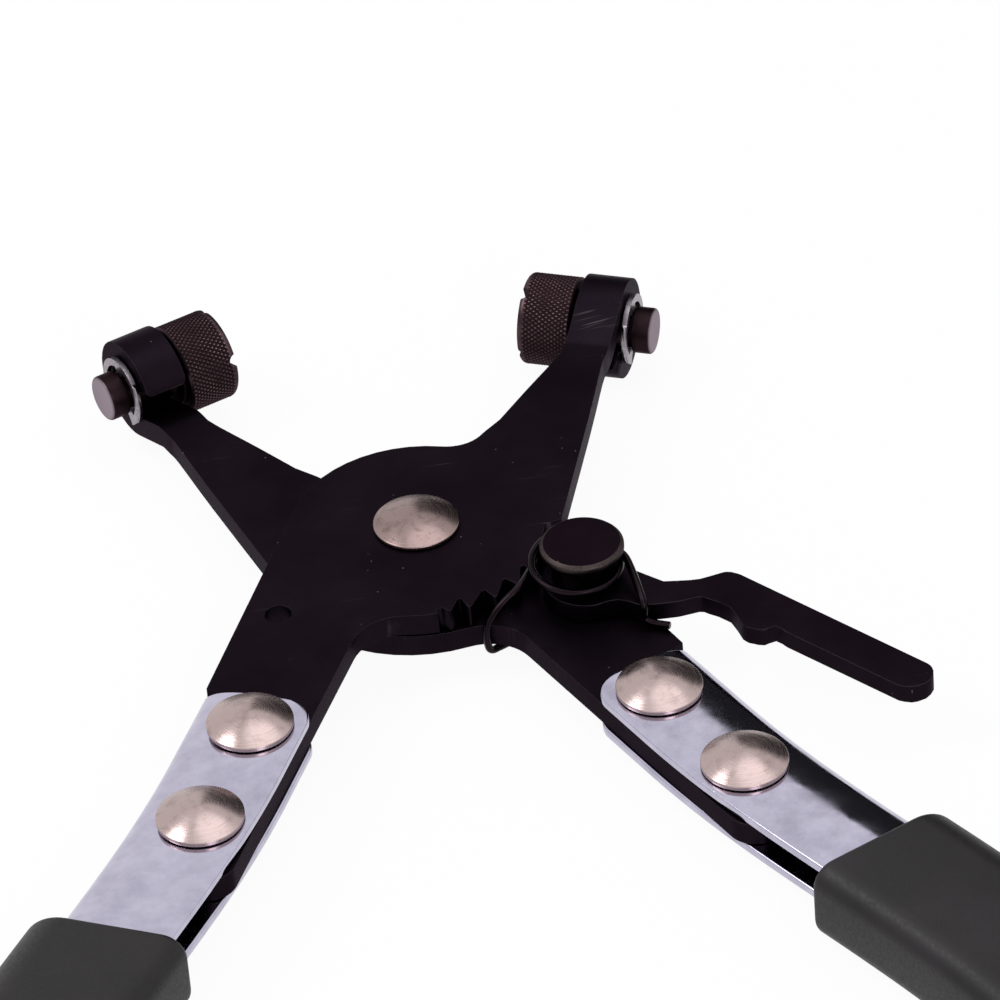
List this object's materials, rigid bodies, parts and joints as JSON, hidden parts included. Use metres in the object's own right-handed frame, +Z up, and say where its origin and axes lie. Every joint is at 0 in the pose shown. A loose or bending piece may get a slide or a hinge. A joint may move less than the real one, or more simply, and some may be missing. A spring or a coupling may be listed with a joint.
{
  "type": "hose clamp pliers",
  "caption": "Hose clamp pliers with riveted steel arms, swivelling slotted jaws in rolled eyes, a sprung ratchet lever and sleeved channel handles.",
  "frame": {"origin": "on the surface that the pliers lie on, under the pivot's line and the middle of their length", "axes": "+X right, +Y towards the jaws, +Z up along the pivot's axis"},
  "size_m": [0.196, 0.2124, 0.017],
  "materials": {
    "oxide_steel": "black oxide, satin",
    "knurled_steel": "black oxide, knurled",
    "chrome_sheet": "bright chrome plate",
    "rivet_steel": "satin nickel plate",
    "clip_steel": "bright spring steel",
    "spring_wire": "dark drawn wire",
    "grip_vinyl": "dipped vinyl, satin"
  },
  "bodies": {
    "lower_arm": {"lower_plate": "oxide_steel", "right_handle_channel": "chrome_sheet", "right_front_rivet": "rivet_steel", "right_rear_rivet": "rivet_steel", "right_grip": "grip_vinyl", "pivot_rivet": "rivet_steel", "pawl_pin": "oxide_steel", "pawl_spring": "spring_wire"},
    "upper_arm": {"upper_plate": "oxide_steel", "left_handle_channel": "chrome_sheet", "left_front_rivet": "rivet_steel", "left_rear_rivet": "rivet_steel", "left_grip": "grip_vinyl"},
    "left_jaw": {"left_swivel_jaw": "knurled_steel", "left_retaining_clip": "clip_steel"},
    "right_jaw": {"right_swivel_jaw": "knurled_steel", "right_retaining_clip": "clip_steel"},
    "pawl": {"ratchet_lever": "oxide_steel"}
  },
  "joints": [
    {"name": "main_pivot", "type": "hinge", "parent": "lower_arm", "child": "upper_arm", "pos_m": [0, 0.05004, 0.0081], "axis": [0, 0, 1], "range_deg": [0, 46.4]},
    {"name": "left_jaw_swivel", "type": "hinge", "parent": "lower_arm", "child": "left_jaw", "pos_m": [-0.03388, 0.09557, 0.0088], "axis": [-0.9191, -0.3939, 0], "continuous": true},
    {"name": "right_jaw_swivel", "type": "hinge", "parent": "upper_arm", "child": "right_jaw", "pos_m": [0.03388, 0.09557, 0.0074], "axis": [0.9191, -0.3939, 0], "continuous": true},
    {"name": "pawl_pivot", "type": "hinge", "parent": "lower_arm", "child": "pawl", "pos_m": [0.02144, 0.03446, 0.0081], "axis": [0, 0, 1], "range_deg": [-8, 12], "stiffness_Nm_per_rad": 0.02, "springref_deg": 28.65, "deforming": ["pawl_spring"]}
  ]
}
